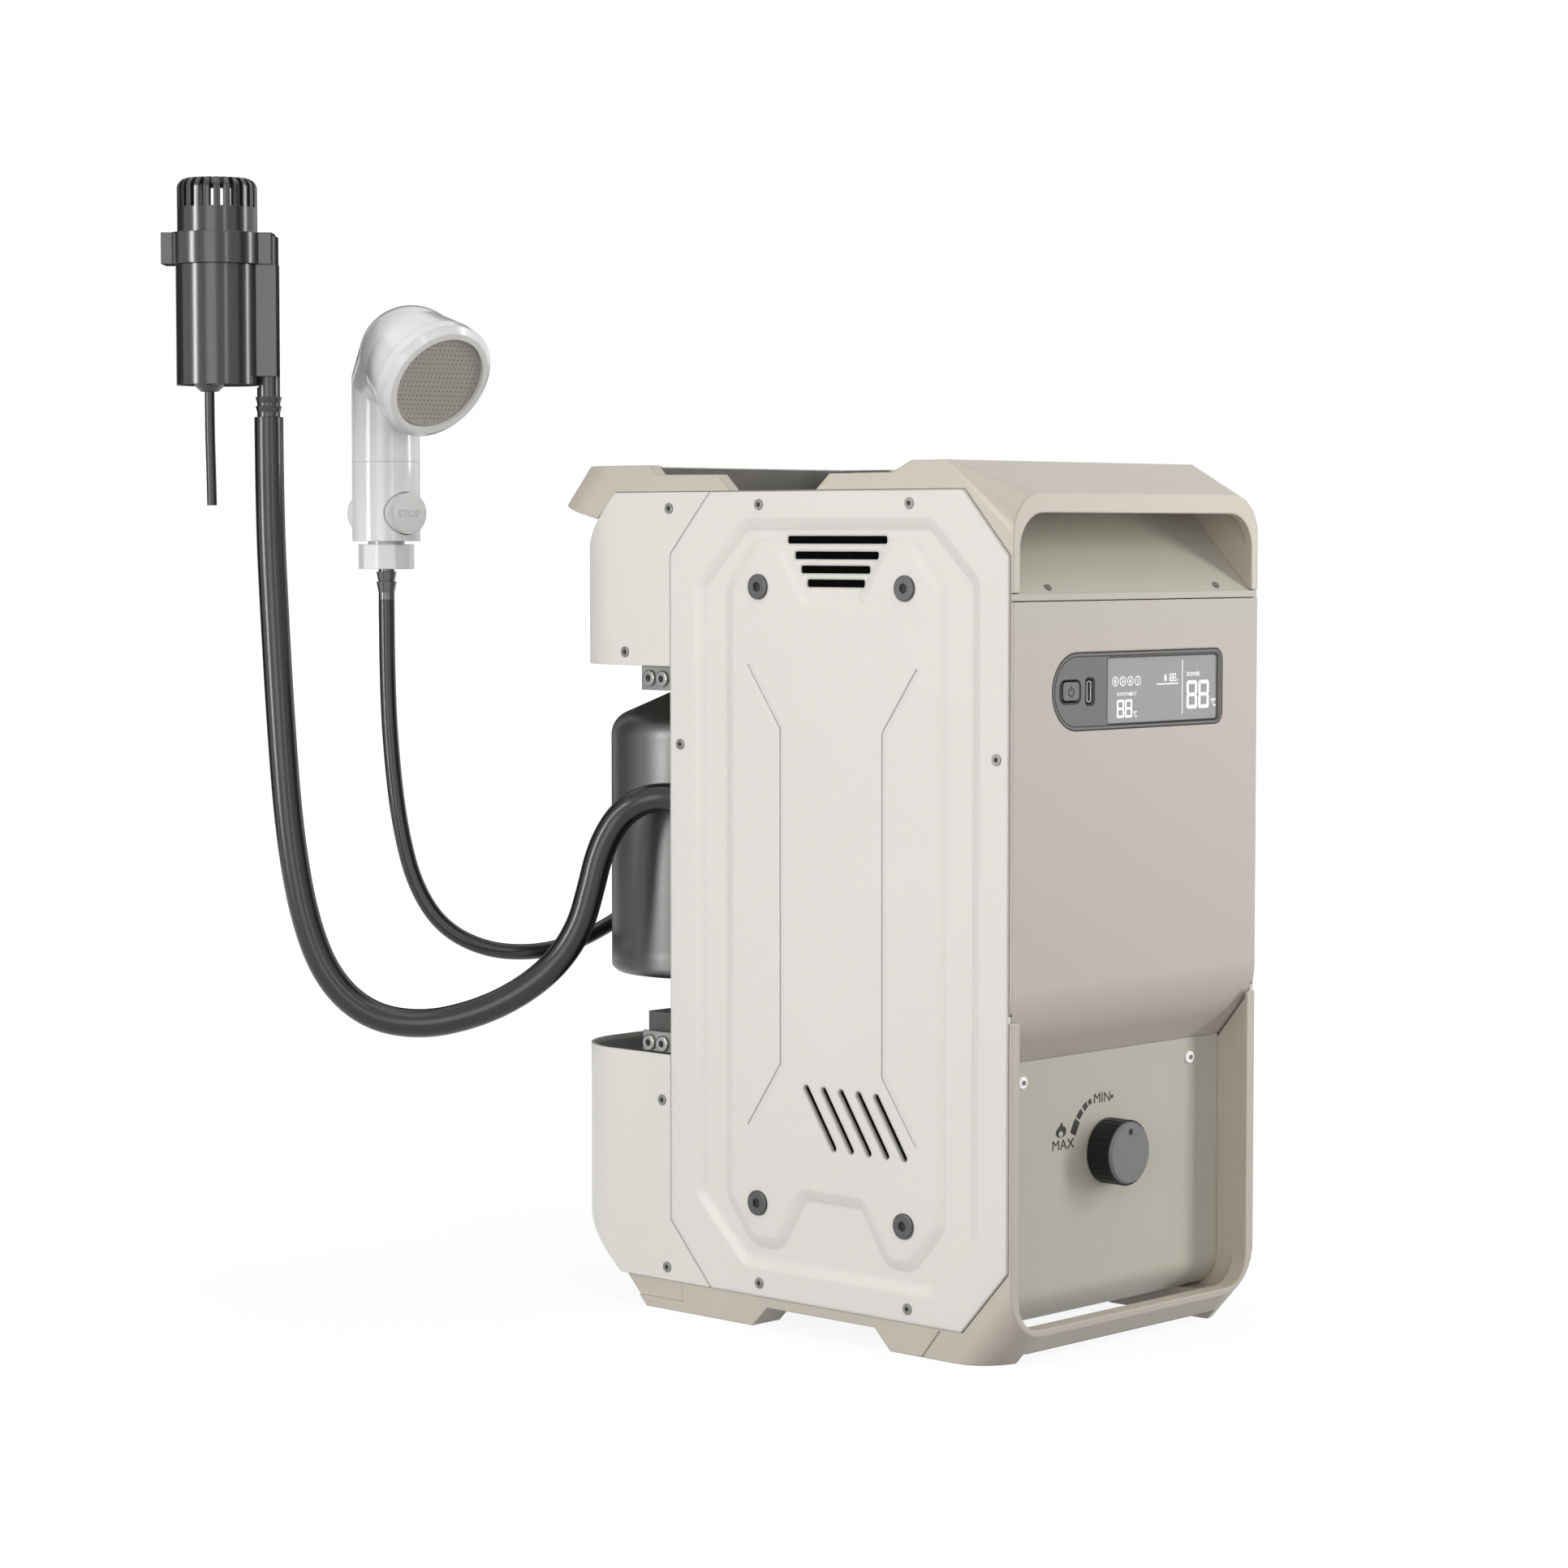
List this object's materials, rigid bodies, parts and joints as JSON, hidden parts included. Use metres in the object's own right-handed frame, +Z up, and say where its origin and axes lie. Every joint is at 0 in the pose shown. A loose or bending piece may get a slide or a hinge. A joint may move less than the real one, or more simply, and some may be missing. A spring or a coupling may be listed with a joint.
{
  "type": "portable gas water heater",
  "caption": "Upright camping water heater with a rear gas bottle bay, front display and gas knob, submersible pump and shower handset on hoses.",
  "frame": {"origin": "on the ground under the middle of the case, midway between the front plane and the back of the rear covers", "axes": "+Z up, the display and knob look along -Y, +X to the right as seen from behind the camera facing the front"},
  "size_m": [0.3336, 0.4029, 0.5337],
  "materials": {
    "panel_paint": "semi-gloss warm white powder coat",
    "cover_paint": "semi-gloss cream powder coat",
    "champagne": "satin champagne paint",
    "zinc_steel": "zinc-plated sheet",
    "dark_screw": "dark oxide",
    "bright_screw": "nickel plate",
    "white_plastic": "gloss white moulding",
    "well_steel": "heat-proof dark paint",
    "bezel_plastic": "satin grey moulding",
    "lcd": "unlit liquid crystal window",
    "dark_plastic": "matte",
    "board_green": "solder mask",
    "battery_wrap": "shrink sleeve",
    "black_plastic": "satin",
    "grey_plastic": "satin",
    "valve_aluminium": "die-cast",
    "aluminium_pipe": "drawn tube",
    "bottle_steel": "gloss grey enamel",
    "brass": "turned",
    "copper": "copper, bright",
    "pump_plastic": "semi-gloss moulding",
    "barb_metal": "dark nickel plate",
    "spray_grey": "satin with fine holes",
    "hose_black": "smooth glossy rubber"
  },
  "bodies": {
    "heater": {"left_side_panel": "panel_paint", "right_side_panel": "panel_paint", "rear_upper_cover": "cover_paint", "rear_lower_cover": "cover_paint", "top_frame": "champagne", "hood_scoop": "champagne", "front_panel": "champagne", "recess_panel": "champagne", "base_frame": "champagne", "chassis": "zinc_steel", "upper_bay_bracket": "zinc_steel", "lower_bay_bracket": "zinc_steel", "panel_screws": "dark_screw", "panel_bolts": "dark_screw", "bracket_screws": "bright_screw", "front_screws": "bright_screw", "nylon_washers": "white_plastic", "exhaust_well": "well_steel", "exhaust_grille": "well_steel", "flue_hood": "zinc_steel", "display_bezel": "bezel_plastic", "lcd_screen": "lcd", "usb_socket": "dark_plastic", "control_board": "board_green", "battery_pack": "battery_wrap", "gas_valve": "valve_aluminium", "gas_regulator": "brass", "gas_pipe": "aluminium_pipe", "burner_supply_pipe": "aluminium_pipe", "burner": "zinc_steel", "combustion_chamber": "copper", "heat_exchanger": "copper", "ignition_electrode": "white_plastic", "water_coil": "copper", "outlet_pipe": "copper", "water_inlet_fitting": "brass", "water_outlet_fitting": "brass", "flow_switch": "dark_plastic", "fitting_block": "black_plastic", "pump_body": "pump_plastic", "pump_collar": "pump_plastic", "pump_outlet": "pump_plastic", "pump_motor": "bright_screw", "hose_barb": "barb_metal", "shower_handle": "white_plastic", "shower_head": "white_plastic", "spray_plate": "spray_grey", "pump_hose": "hose_black", "shower_hose": "hose_black", "pump_cord": "hose_black"},
    "knob": {"gas_knob": "black_plastic", "knob_cap": "grey_plastic"},
    "power_button": {"power_button": "bezel_plastic"},
    "stop_button": {"stop_button": "white_plastic"},
    "hose_nut": {"hose_nut": "white_plastic"},
    "shower_ring": {"shower_ring": "white_plastic"},
    "bottle": {"gas_bottle": "bottle_steel"},
    "filter_cap": {"pump_filter_cap": "pump_plastic"},
    "impeller": {"pump_impeller": "white_plastic"}
  },
  "joints": [
    {"name": "gas_knob_turn", "type": "hinge", "parent": "heater", "child": "knob", "pos_m": [0, -0.125, 0.087], "axis": [0, -1, 0], "range_deg": [0, 90]},
    {"name": "power_button_press", "type": "slide", "parent": "heater", "child": "power_button", "axis": [0, 1, 0], "range_m": [0, 0.0008], "stiffness_N_per_m": 400, "springref_m": -0.0005},
    {"name": "stop_button_push", "type": "slide", "parent": "heater", "child": "stop_button", "axis": [0.0872, 0.9962, 0], "range_m": [0, 0.003]},
    {"name": "hose_nut_spin", "type": "hinge", "parent": "heater", "child": "hose_nut", "pos_m": [-0.1266, 0.2246, 0.356], "axis": [0, 0, 1], "continuous": true},
    {"name": "shower_ring_unscrew", "type": "hinge", "parent": "heater", "child": "shower_ring", "pos_m": [-0.13001, 0.18558, 0.44151], "axis": [-0.0753, -0.8601, -0.5045], "continuous": true},
    {"name": "bottle_unscrew", "type": "hinge", "parent": "heater", "child": "bottle", "pos_m": [-0.022, 0.1019, 0.2], "axis": [0, 0, 1], "continuous": true},
    {"name": "filter_cap_twist", "type": "hinge", "parent": "heater", "child": "filter_cap", "pos_m": [-0.22, 0.2365, 0.515], "axis": [0, 0, 1], "continuous": true},
    {"name": "impeller_spin", "type": "hinge", "parent": "heater", "child": "impeller", "pos_m": [-0.22, 0.2365, 0.482], "axis": [0, 0, 1], "continuous": true}
  ]
}
